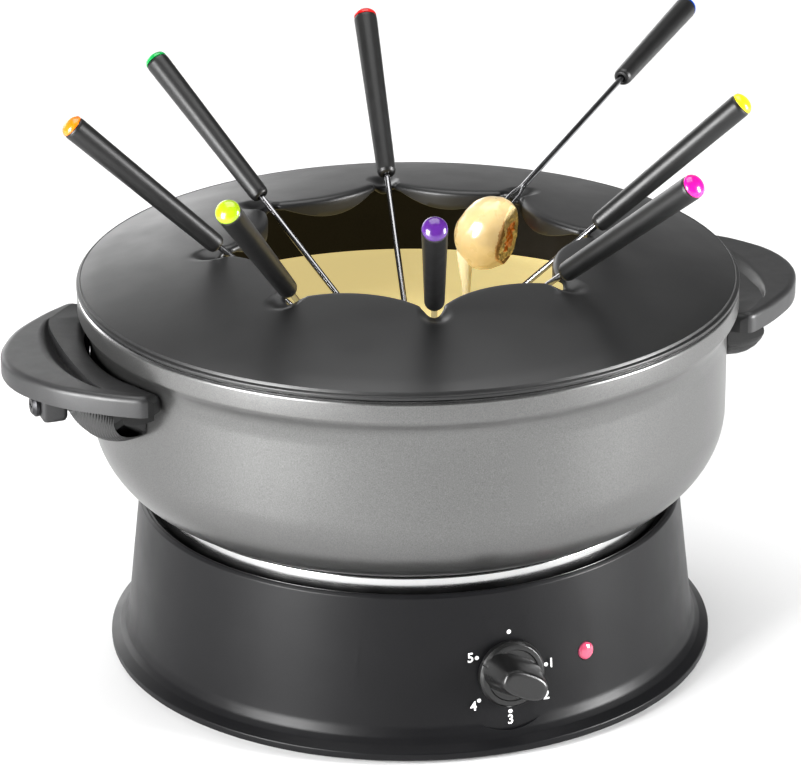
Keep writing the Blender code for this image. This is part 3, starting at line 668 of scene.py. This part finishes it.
def build_wing(tag, place, screw_axis):
    columns_in, columns_scoop, columns_out = 12, 9, 14
    plan = []
    for inner, outer in wing_grid():
        row = []
        across = outer - inner

        def at_x(x, inner=inner, across=across):
            return inner + across * ((x - inner.x) / max(across.x, 1e-6))

        mid_y = inner.y + across.y * 0.45
        v = min(abs(mid_y) / RIDGE_Y, 1.0)
        ridge_x = RIDGE_X - 2.2 * v * v
        scoop_x = ridge_x + 0.35 + SCOOP_WIDE * (1.0 - v * v)
        span = outer.x - inner.x
        shrink = min(1.0, span / 30.0)
        ridge_x = inner.x + (ridge_x - inner.x) * shrink + (1 - shrink) * span * 0.35
        scoop_x = inner.x + (scoop_x - inner.x) * shrink + (1 - shrink) * span * 0.45
        ridge_x = min(ridge_x, inner.x + span * 0.6)
        scoop_x = min(max(scoop_x, ridge_x + 0.12), inner.x + span * 0.8)
        lip = 0.3 if scoop_x - ridge_x > 0.5 else 0.0
        a, b, c = at_x(ridge_x), at_x(ridge_x + lip), at_x(scoop_x)
        for k in range(columns_in):
            t = k / columns_in
            row.append((inner.lerp(a, math.sin(t * math.pi / 2) ** 1.2), "leaf", t, v))
        row.append((a, "leaf", 1.0, v))
        for k in range(columns_scoop):
            row.append((b.lerp(c, k / columns_scoop), "scoop", k / columns_scoop, v))
        for k in range(columns_out + 1):
            t = k / columns_out
            row.append((c.lerp(outer, 1.0 - (1.0 - t) ** 1.6), "top", t, v))
        plan.append(row)
    edge = [r[-1][0] for r in plan] + [plan[-1][k][0] for k in range(len(plan[0]) - 1, -1, -1)]
    edge += [r[0][0] for r in plan[::-1]] + [plan[0][k][0] for k in range(len(plan[0]))]
    loop = np.array([(p.x, p.y) for p in edge])
    starts, ends = loop, np.roll(loop, -1, axis=0)

    def edge_distance(p):
        q = np.array((p.x, p.y))
        along = ends - starts
        t = np.clip(((q - starts) * along).sum(1) / np.maximum((along ** 2).sum(1), 1e-9), 0, 1)
        return float(np.sqrt(((starts + along * t[:, None] - q) ** 2).sum(1)).min())

    verts, faces, count = [], [], len(plan[0])
    for row in plan:
        for p, zone, t, v in row:
            d = min(edge_distance(p), WING_EDGE)
            z = WING_TOP - (WING_EDGE - math.sqrt(max(WING_EDGE ** 2 - (WING_EDGE - d) ** 2, 0)))
            fade = (1.0 - v * v) ** 0.8 if v < 1.0 else 0.0
            if zone == "leaf":
                z -= 3.2 * (1.0 - t) ** 1.7 * (0.35 + 0.65 * fade)
            elif zone == "scoop":
                z -= SCOOP_DEEP * fade * (1.0 - smooth_step(t)) ** 0.8
            verts.append((p.x, p.y, z))
    total = len(verts)
    verts += [(p.x, p.y, WING_LOW) for row in plan for p, _, _, _ in row]
    for r in range(len(plan) - 1):
        for k in range(count - 1):
            i = r * count + k
            faces.append([i, i + 1, i + count + 1, i + count])
            faces.append([total + i, total + i + count, total + i + count + 1, total + i + 1])
    rim = [k for k in range(count)] + [r * count + count - 1 for r in range(1, len(plan))]
    rim += [(len(plan) - 1) * count + k for k in range(count - 2, -1, -1)]
    rim += [r * count for r in range(len(plan) - 2, 0, -1)]
    for a, b in zip(rim, rim[1:] + rim[:1]):
        faces.append([a, b, total + b, total + a])
    verts = [tuple(place @ Vector(v)) for v in verts]
    wing = piece("side_handle_" + tag, verts, faces, HANDLE_BLACK, None, angle=42.0)
    lug = rounded([(144.2, -7.0), (154.5, -7.0), (154.5, 7.0), (144.2, 7.0)], 2.2, 4)
    stack = [(116.5, 1.6), (116.9, 0.7), (118.1, 0.1), (119.0, 0.0), (135.4, 0.0)]
    centre = Vector((149.35, 0.0))
    sections = []
    for z, inset in stack:
        ring = []
        for x, y in lug:
            off = Vector((x, y)) - centre
            ring.append((centre.x + off.x * (1.0 - inset / 5.1),
                         centre.y + off.y * (1.0 - inset / 7.0), z))
        sections.append(ring)
    combine(wing, tool([loft(sections, place)], HANDLE_BLACK), "UNION", 42.0)
    combine(wing, tool([rod(2.4, 140.0, 160.0, 32, screw_axis)], HANDLE_BLACK),
            "DIFFERENCE", 42.0)
    settle(wing, "bowl", ["handle_" + tag])


def build_bracket(tag, place, screw_axis):
    sections, steps, reach = [], 56, 21.0
    for k in range(steps + 1):
        deg = -reach * math.cos(math.pi * k / steps)
        drop = 22.2 * math.sqrt(max(1.0 - (deg / (reach + 0.35)) ** 2, 0.0)) + 0.6
        outline = [(129.1, 0.0), (143.7, 0.0), (143.7, 0.38), (142.8, 0.60), (140.9, 0.80),
                   (138.0, 0.93), (134.6, 0.99), (131.0, 1.0), (129.1, 0.99)]
        fine = rounded([(r, 133.3 - drop * share) for r, share in outline],
                       (0.3, 0.5, 3.0, 3.0, 3.0, 3.0, 3.0, 2.0, 0.4), 3)
        sections.append([polar(r, deg, z) for r, z in fine])
    verts, faces = loft(sections, place)
    bracket = piece("side_bracket_" + tag, verts, faces, BRACKET_BLACK, None)
    boss = []
    for x, grow in ((134.0, 1.0), (142.6, 1.0), (143.6, 0.96), (144.0, 0.88)):
        arc = []
        for k in range(33):
            a = math.pi * k / 32
            arc.append((x, 17.0 * grow * math.cos(a), 133.2 - 14.4 * grow * math.sin(a)))
        boss.append(arc)
    combine(bracket, tool([loft(boss, place)], BRACKET_BLACK), "UNION")
    pocket = [(125.0, -9.4), (136.4, -9.4), (136.4, 9.4), (125.0, 9.4)]
    combine(bracket, tool([prism(pocket, 114.6, 130.4, place)], BRACKET_BLACK), "DIFFERENCE")
    combine(bracket, tool([rod(2.4, 130.0, 150.0, 32, screw_axis)], BRACKET_BLACK),
            "DIFFERENCE")
    bracket.data.set_sharp_from_angle(angle=math.radians(14.0))
    settle(bracket, "bowl", ["handle_bracket_" + tag])


def build_handles():
    for side, tag in ((1.0, "right"), (-1.0, "left")):
        place = side_place(side)
        screw_axis = screw_frame(place)
        build_wing(tag, place, screw_axis)
        build_bracket(tag, place, screw_axis)
        profile = [(0.0, 130.2), (2.0, 130.2), (2.0, 154.8), (4.6, 154.8), (4.6, 156.2),
                   (3.2, 157.6), (0.0, 157.6)]
        cross_head("handle_bolt_" + tag, profile, screw_axis, 157.6, -1.0, "bowl",
                   "handle_screw_" + tag, DARK_ZINC)


# ----------------------------------------------------------------- guard ring
OPEN_APEX_R, OPEN_NOTCH_R, PETAL_R = 60.5, 75.2, 46.4
NOTCH_HALF, NOTCH_FILLET, NOTCH_AZ0 = 4.3, 4.0, -102.1
LIP_DEPTH, RING_THICK, RING_EDGE_R = 7.7, 2.2, 131.3
SEAT_R, SEAT_LONG, SEAT_WIDE, SEAT_DEEP = 78.5, 9.0, 7.5, 2.6
PETAL_STEPS, FILLET_STEPS, NOTCH_STEPS = 16, 5, 8


def ring_top(x, y):
    """Top of the guard ring: a shallow dome with a dished seat at each notch."""
    radius = math.hypot(x, y)
    z = 171.5 - 12.2 * (max(radius - 58.0, 0.0) / 74.0) ** 1.6
    angle = math.degrees(math.atan2(y, x)) - NOTCH_AZ0
    off = math.radians((angle + 22.5) % 45.0 - 22.5)
    u, v = radius * math.cos(off) - SEAT_R, radius * math.sin(off)
    q = (u / SEAT_LONG) ** 2 + (v / SEAT_WIDE) ** 2
    if q < 1.0:
        z -= SEAT_DEEP * (1.0 - q) ** 2
    return z


def notch_side():
    """Half a sector of the opening, mid petal to notch end, in the notch's frame.

    Each entry is (point, direction into the ring, share of the full lip).
    """
    a = math.radians(22.5)
    reach = OPEN_APEX_R + PETAL_R
    cu, cv = reach * math.cos(a), reach * math.sin(a)
    fv = NOTCH_HALF + NOTCH_FILLET
    fu = cu - math.sqrt((PETAL_R - NOTCH_FILLET) ** 2 - (cv - fv) ** 2)
    start = math.atan2(-math.sin(a), -math.cos(a))
    end = math.atan2(fv - cv, fu - cu)
    out = []
    for k in range(PETAL_STEPS + 1):
        t = start + (end - start) * k / PETAL_STEPS
        out.append(((cu + PETAL_R * math.cos(t), cv + PETAL_R * math.sin(t)),
                    (-math.cos(t), -math.sin(t)), 1.0 - k / PETAL_STEPS))
    for k in range(1, FILLET_STEPS + 1):
        t = end + (-math.pi / 2 - end) * k / FILLET_STEPS
        out.append(((fu + NOTCH_FILLET * math.cos(t), fv + NOTCH_FILLET * math.sin(t)),
                    (-math.cos(t), -math.sin(t)), 0.0))
    su = OPEN_NOTCH_R - NOTCH_HALF
    for k in range(NOTCH_STEPS + 1):
        t = math.pi / 2 * (1.0 - k / NOTCH_STEPS)
        out.append(((su + NOTCH_HALF * math.cos(t), NOTCH_HALF * math.sin(t)),
                    (math.cos(t), math.sin(t)), 0.0))
    return out


def opening_edge():
    half, edge = notch_side(), []
    for i in range(8):
        az = math.radians(NOTCH_AZ0 + 45.0 * i)
        c, s = math.cos(az), math.sin(az)
        lower = [((p[0], -p[1]), (n[0], -n[1]), w) for p, n, w in half]
        for (u, v), (nu, nv), w in lower + half[::-1][1:-1]:
            edge.append((Vector((c * u - s * v, s * u + c * v)),
                         Vector((c * nu - s * nv, s * nu + c * nv)), w))
    return edge


def build_guard_ring():
    rim = rounded([(123.4, 150.6), (125.4, 150.6), (125.4, 156.4), (133.0, 156.4),
                   (133.0, 157.9), (131.7, 158.1), (131.5, 159.3)],
                  (0.4, 0.5, 0.5, 0.4, 0.5, 0.25, 0.0), 3, closed=False)
    surface_steps = 26
    sections = []
    for point, normal, weight in opening_edge():
        angle = math.atan2(point.y, point.x)
        ray = Vector((math.cos(angle), math.sin(angle)))
        depth = RING_THICK + (LIP_DEPTH - RING_THICK) * math.sin(weight * math.pi / 2)
        inner, outer = point + normal * 2.6, ray * RING_EDGE_R
        path = [outer.lerp(inner, (k / surface_steps) ** 0.8) for k in range(surface_steps + 1)]
        section = [(ray.x * r, ray.y * r, z) for r, z in rim]
        section += [(p.x, p.y, ring_top(p.x, p.y) - (0.35 if i == 0 else 0.0))
                    for i, p in enumerate(path)]
        top = ring_top(inner.x, inner.y)
        for t in (18.0, 36.0, 54.0, 72.0, 90.0):
            a = math.radians(t)
            p = inner - normal * 2.6 * math.sin(a)
            section.append((p.x, p.y, top - 2.0 * (1.0 - math.cos(a))))
        bottom = min(top - depth, top - 2.6)
        for share in (0.33, 0.66):
            section.append((point.x, point.y, top - 2.0 + (bottom + 2.0 - top) * share))
        for t in (0.0, 45.0, 90.0, 135.0, 180.0):
            a = math.radians(t)
            p = point + normal * 0.9 * (1.0 - math.cos(a))
            section.append((p.x, p.y, bottom - 0.45 * math.sin(a)))
        for p in path[::-1][1:-2:2]:
            section.append((p.x, p.y, ring_top(p.x, p.y) - RING_THICK))
        section += [(ray.x * 123.4, ray.y * 123.4, 157.4)]
        sections.append(section)
    verts, faces = loft(sections, ring=True)
    piece("splash_ring", verts, faces, RING_BLACK, "guard_ring", ["guard_ring"],
          angle=40.0)


# ---------------------------------------------------------------------- forks
FORK_PASS_R, FORK_PASS_Z = 77.6, 172.7
FORK_STEEL_LONG, FORK_HEAD, FORK_GRIP = 135.0, 26.0, 77.0
# notch index, cap colour, side shift, turn off radial, rise, height shift,
# distance from the notch to the handle's lower end, roll about its own axis
FORKS = (
    (0, "purple", -0.2, -7.8, 41.3, 0.3, 1.8, 0.0),
    (1, "magenta", -0.5, -1.8, 39.1, 2.1, -0.9, 87.0),
    (2, "yellow", 0.1, -12.9, 42.7, 1.4, -1.0, -2.0),
    (3, "blue", -1.1, 12.1, 8.4, -0.3, 108.3, 0.0),
    (4, "red", -1.6, 1.5, 42.5, 0.8, -1.4, 14.0),
    (5, "green", -1.7, -7.6, 35.4, 1.0, -0.9, 0.0),
    (6, "orange", 0.5, 1.2, 43.5, 1.9, -2.2, -8.0),
    (7, "lime", 0.9, 17.0, 41.7, 1.8, -1.9, -4.0),
)
DIPPED = 4                     # the fork that carries the morsel


def fork_frame(index, side, turn, rise, lift, roll):
    az = math.radians(NOTCH_AZ0 + 45.0 * index)
    spot = (FORK_PASS_R * math.cos(az) - side * math.sin(az),
            FORK_PASS_R * math.sin(az) + side * math.cos(az), FORK_PASS_Z + lift)
    way, up = az + math.radians(turn), math.radians(rise)
    axis = Vector((math.cos(up) * math.cos(way), math.cos(up) * math.sin(way), math.sin(up)))
    level = Vector((-math.sin(way), math.cos(way), 0.0))
    spin = math.radians(roll)
    return axis_frame(spot, axis, level * math.cos(spin) + axis.cross(level) * math.sin(spin))


def prong_sections(side, tip, neck):
    """One prong: from the neck it spreads, runs straight and ends in a point."""
    out = []
    path = ((neck + 2.0, 0.35, 1.05), (neck - 1.0, 0.75, 1.0), (neck - 4.0, 1.45, 0.85),
            (neck - 7.5, 1.95, 0.75), (tip + 12.0, 2.0, 0.75), (tip + 7.0, 2.05, 0.72),
            (tip + 4.0, 2.1, 0.62), (tip + 1.6, 2.15, 0.38), (tip, 2.2, 0.08))
    for z, x, radius in path:
        out.append([(side * x + radius * math.cos(a), min(radius, 0.7) * math.sin(a), z)
                    for a in (2 * math.pi * k / 14 for k in range(14))])
    return out


def build_fork(number, index, colour, side, turn, rise, lift, grip, roll):
    place = fork_frame(index, side, turn, rise, lift, roll)
    body = "fork_%d" % number
    tip = grip - FORK_STEEL_LONG
    neck = tip + FORK_HEAD
    shaft = rounded([(0.0, neck - 2.0), (1.25, neck), (1.25, grip + 24.0), (0.0, grip + 24.0)],
                    (0, 0.6, 0.2, 0), 3, closed=False)
    verts, faces = lathe(shaft, 32, place, False)
    steel = piece("steel_%d" % number, verts, faces, FORK_STEEL, None)
    for way in (1.0, -1.0):
        combine(steel, tool([loft(prong_sections(way, tip, neck), place)], FORK_STEEL), "UNION")
    settle(steel, body, ["fork_steel_%d" % number])

    end = grip + FORK_GRIP
    outline = [(1.6, grip + 0.4), (1.9, grip), (2.9, grip + 0.1), (3.5, grip + 0.7),
               (3.9, grip + 1.9), (4.0, grip + 4.0), (4.88, end - 2.2), (4.9, end - 1.2),
               (4.75, end - 0.4), (4.5, end), (2.5, end), (2.5, end - 6.0),
               (1.6, end - 8.0)]
    verts, faces = lathe(rounded(outline, 0.25, 3), 48, place)
    piece("handle_%d" % number, verts, faces, FORK_BLACK, body,
          ["fork_handle_%d" % number])

    top = end + 0.2
    dome = [(0.0, top - 5.0), (2.2, top - 5.0), (2.2, top), (4.5, top), (4.76, top + 0.08)]
    for k in range(12):
        a = math.radians(6.0 + 84.0 * k / 12)
        dome.append((4.8 * math.cos(a), top + 3.2 * math.sin(a)))
    verts, faces = lathe(dome + [(0.0, top + 3.2)], 56, place, False)
    piece("cap_%d" % number, verts, faces, cap_material(colour), body,
          ["fork_cap_%d" % number])
    return place


# ----------------------------------------------------------------------- food
CHEESE_Z = 120.5


def build_cheese():
    """Melted cheese filling the bowl to CHEESE_Z, with a slightly uneven top."""
    gap, segments = 0.35, 160
    profile = [(0.0, BOWL_INNER_Z + gap), (60.0, BOWL_INNER_Z + gap)]
    for k in range(15):
        z = BOWL_INNER_Z + gap + (BOWL_TURN_Z - BOWL_INNER_Z - gap) * (k / 14.0) ** 2
        profile.append((bowl_inner_radius(z) - gap, z))
    profile += [(BOWL_INNER_R - gap, 118.0), (BOWL_INNER_R - gap, CHEESE_Z + 0.9),
                (BOWL_INNER_R - gap - 1.2, CHEESE_Z + 0.35), (BOWL_INNER_R - 4.5, CHEESE_Z)]
    top_start = len(profile)
    radii = [118.0 * (1.0 - k / 46.0) for k in range(46)]
    profile += [(r, CHEESE_Z) for r in radii] + [(0.0, CHEESE_Z)]
    verts, faces = lathe(profile, segments, closed=False)
    first = 1 + (top_start - 1) * segments
    for i in range(first, len(verts)):
        x, y, z = verts[i]
        swell = noise.noise(Vector((x * 0.022, y * 0.022, 1.7))) * 1.1
        swell += noise.noise(Vector((x * 0.075, y * 0.075, 5.1))) * 0.28
        verts[i] = (x, y, z + swell)
    piece("cheese", verts, faces, CHEESE, "bowl", angle=60.0)


CAMERA_RIGHT = Vector((0.942, -0.335, 0.0))
CAMERA_NEAR = Vector((-0.335, -0.942, 0.0))


def build_morsel(place):
    """Coated bread on the dipped fork, with one bare side and a drip."""
    centre = place @ Vector((0.0, 0.0, -21.0)) + Vector((0.0, 0.0, -10.6)) - CAMERA_RIGHT * 5.9
    right, near, up = CAMERA_RIGHT, CAMERA_NEAR, Vector((0.0, 0.0, 1.0))
    bare = (right * 0.88 + near * 0.42 - up * 0.12).normalized()
    bm = bmesh.new()
    bmesh.ops.create_icosphere(bm, subdivisions=6, radius=1.0)
    verts = []
    for v in bm.verts:
        d = v.co.normalized()
        r, n, u = d.x, d.y, d.z
        p = right * r * 13.8 + near * n * 12.4 + up * u * 15.4
        lump = 1.0 + 0.045 * noise.noise(d * 1.6 + Vector((3.0, 1.0, 7.0)))
        lump += 0.02 * noise.noise(d * 4.0)
        p = p * lump + right * (2.2 * u if u > 0 else u)
        reach = p.dot(bare)
        depth = 8.7 + 0.9 * noise.noise(p * 0.22)
        if reach > depth:
            rough = noise.noise(p * 0.55) * 0.8 + noise.noise(p * 1.3) * 0.35
            p -= bare * (reach - depth) * 0.93
            p += bare * rough * min(1.0, (reach - depth) / 2.0)
        verts.append(tuple(centre + p))
    bm.verts.index_update()
    faces = [[v.index for v in f.verts] for f in bm.faces]
    bm.free()
    slots = []
    for f in faces:
        mid = sum((Vector(verts[i]) for i in f), Vector()) / 3.0 - centre
        side, high = mid.dot(near.cross(bare).cross(bare) * -1.0), mid.z
        if mid.dot(bare) < 8.0 + 0.9 * noise.noise(mid * 0.22) + 0.25 * noise.noise(mid):
            slots.append(0)
            continue
        sway = noise.noise(mid * 0.35) * 1.2
        if side > 2.6 + sway or high < -10.0 + sway:
            slots.append(2 if side > 5.2 + sway or high < -9.0 else 1)
        elif -6.0 + sway < high < 5.5 and side > -4.6 + sway * 0.3:
            slots.append(3)
        else:
            slots.append(1)
    piece("morsel", verts, faces, [COATING, CRUMB, CRUST, ORANGE_BIT], "fork_%d" % DIPPED,
          face_slots=slots, angle=70.0)

    drip_top = centre - right * 9.9 + near * 1.0 - up * 7.0
    sections = []
    drop = drip_top.z - (CHEESE_Z + 2.0)
    for k in range(15):
        t = k / 14.0
        radius = 3.3 - 1.7 * smooth_step(t * 1.4) + (0.35 * t if t > 0.8 else 0.0)
        radius *= 1.0 if k < 14 else 0.45
        spot = drip_top - up * drop * t + right * 0.8 * math.sin(2.4 * t)
        sections.append([tuple(spot + right * radius * math.cos(a) + near * radius * math.sin(a))
                         for a in (2 * math.pi * j / 28 for j in range(28))])
    verts, faces = loft(sections)
    piece("drip", verts, faces, DRIP, "fork_%d" % DIPPED, angle=60.0)


# ---------------------------------------------------------------- other parts
CAD_LOOKS = {
    "base_plate": ZINC, "heating_element": HEATED_STEEL, "thermal_fuse": CERAMIC,
    "thermostat_body": INSULATION, "thermostat_nut": ZINC, "thermostat_spindle": ZINC,
    "indicator_lamp": LAMP_GLASS, "terminal_block": CERAMIC,
}


def dress_cad_nodes():
    for name, mat in CAD_LOOKS.items():
        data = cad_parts[name].data
        if not data.materials:
            data.materials.append(mat)
        for i in range(len(data.materials)):
            data.materials[i] = mat


# ------------------------------------------------------- studio and viewpoint
WORLD_DIM, WORLD_BRIGHT = 0.03, 1.0    # away from, and towards, the backdrop
BACKDROP = Vector((-0.10, 0.80, -0.55))
# name, azimuth, elevation, distance (m), size (m), power (W)
LIGHTS = (
    ("left_box", -157.0, 8.0, 1.5, (0.7, 1.2), 92.0),
    ("right_box", -33.0, 6.0, 1.8, (0.50, 1.1), 108.0),
    ("back_box", 100.0, 10.0, 2.4, (2.0, 0.9), 17.0),
    ("top_box", 80.0, 80.0, 1.9, (1.6, 1.6), 30.0),
)
LIGHTS_AIM = Vector((0.0, 0.0, 0.09))


def build_studio():
    bpy.ops.mesh.primitive_plane_add(size=9.0, location=(0.0, 1.0, -0.0004))
    floor = bpy.context.object
    floor.name = "floor"
    floor.data.materials.append(FLOOR)
    world = bpy.data.worlds.new("studio")
    bpy.context.scene.world = world
    world.use_nodes = True
    tree = world.node_tree
    tree.nodes["Background"].inputs["Color"].default_value = (1.0, 1.0, 1.0, 1.0)
    ahead = node(tree, "ShaderNodeVectorMath", operation="DOT_PRODUCT")
    ahead.inputs[1].default_value = BACKDROP
    tree.links.new(node(tree, "ShaderNodeTexCoord").outputs["Generated"], ahead.inputs[0])
    tree.links.new(spread(tree, ahead.outputs["Value"], WORLD_DIM, WORLD_BRIGHT, 0.15, 0.85),
                   tree.nodes["Background"].inputs["Strength"])
    for name, azimuth, elevation, distance, size, power in LIGHTS:
        data = bpy.data.lights.new(name, "AREA")
        data.shape, data.size, data.size_y, data.energy = "RECTANGLE", size[0], size[1], power
        lamp = add_object(name, data)
        a, e = math.radians(azimuth), math.radians(elevation)
        lamp.location = LIGHTS_AIM + distance * Vector((math.cos(e) * math.cos(a),
                                                        math.cos(e) * math.sin(a), math.sin(e)))
        lamp.rotation_euler = (LIGHTS_AIM - lamp.location).to_track_quat("-Z", "Y").to_euler()


CAMERA_SPOT = (-0.48457, -1.35335, 0.69603)
CAMERA_TILT, CAMERA_HEADING, CAMERA_ROLL = 67.787, -19.57, -0.40
CAMERA_LENS = 171.57


def build_camera():
    data = bpy.data.cameras.new("camera")
    data.sensor_width, data.lens = 36.0, CAMERA_LENS
    data.clip_start, data.clip_end = 0.05, 30.0
    camera = add_object("camera", data)
    turn = (Matrix.Rotation(math.radians(CAMERA_HEADING), 4, "Z")
            @ Matrix.Rotation(math.radians(CAMERA_TILT), 4, "X")
            @ Matrix.Rotation(math.radians(CAMERA_ROLL), 4, "Z"))
    camera.matrix_world = Matrix.Translation(CAMERA_SPOT) @ turn
    bpy.context.scene.camera = camera


build_camera()
build_housing()
build_stand_metal()
build_feet()
build_dial_marks()
build_controls()
build_bowl()
build_handles()
build_guard_ring()
for fork_number, fork in enumerate(FORKS, 1):
    fork_place = build_fork(fork_number, *fork)
    if fork_number == DIPPED:
        build_morsel(fork_place)
build_cheese()
dress_cad_nodes()
build_studio()
bpy.context.scene.view_settings.view_transform = "Standard"
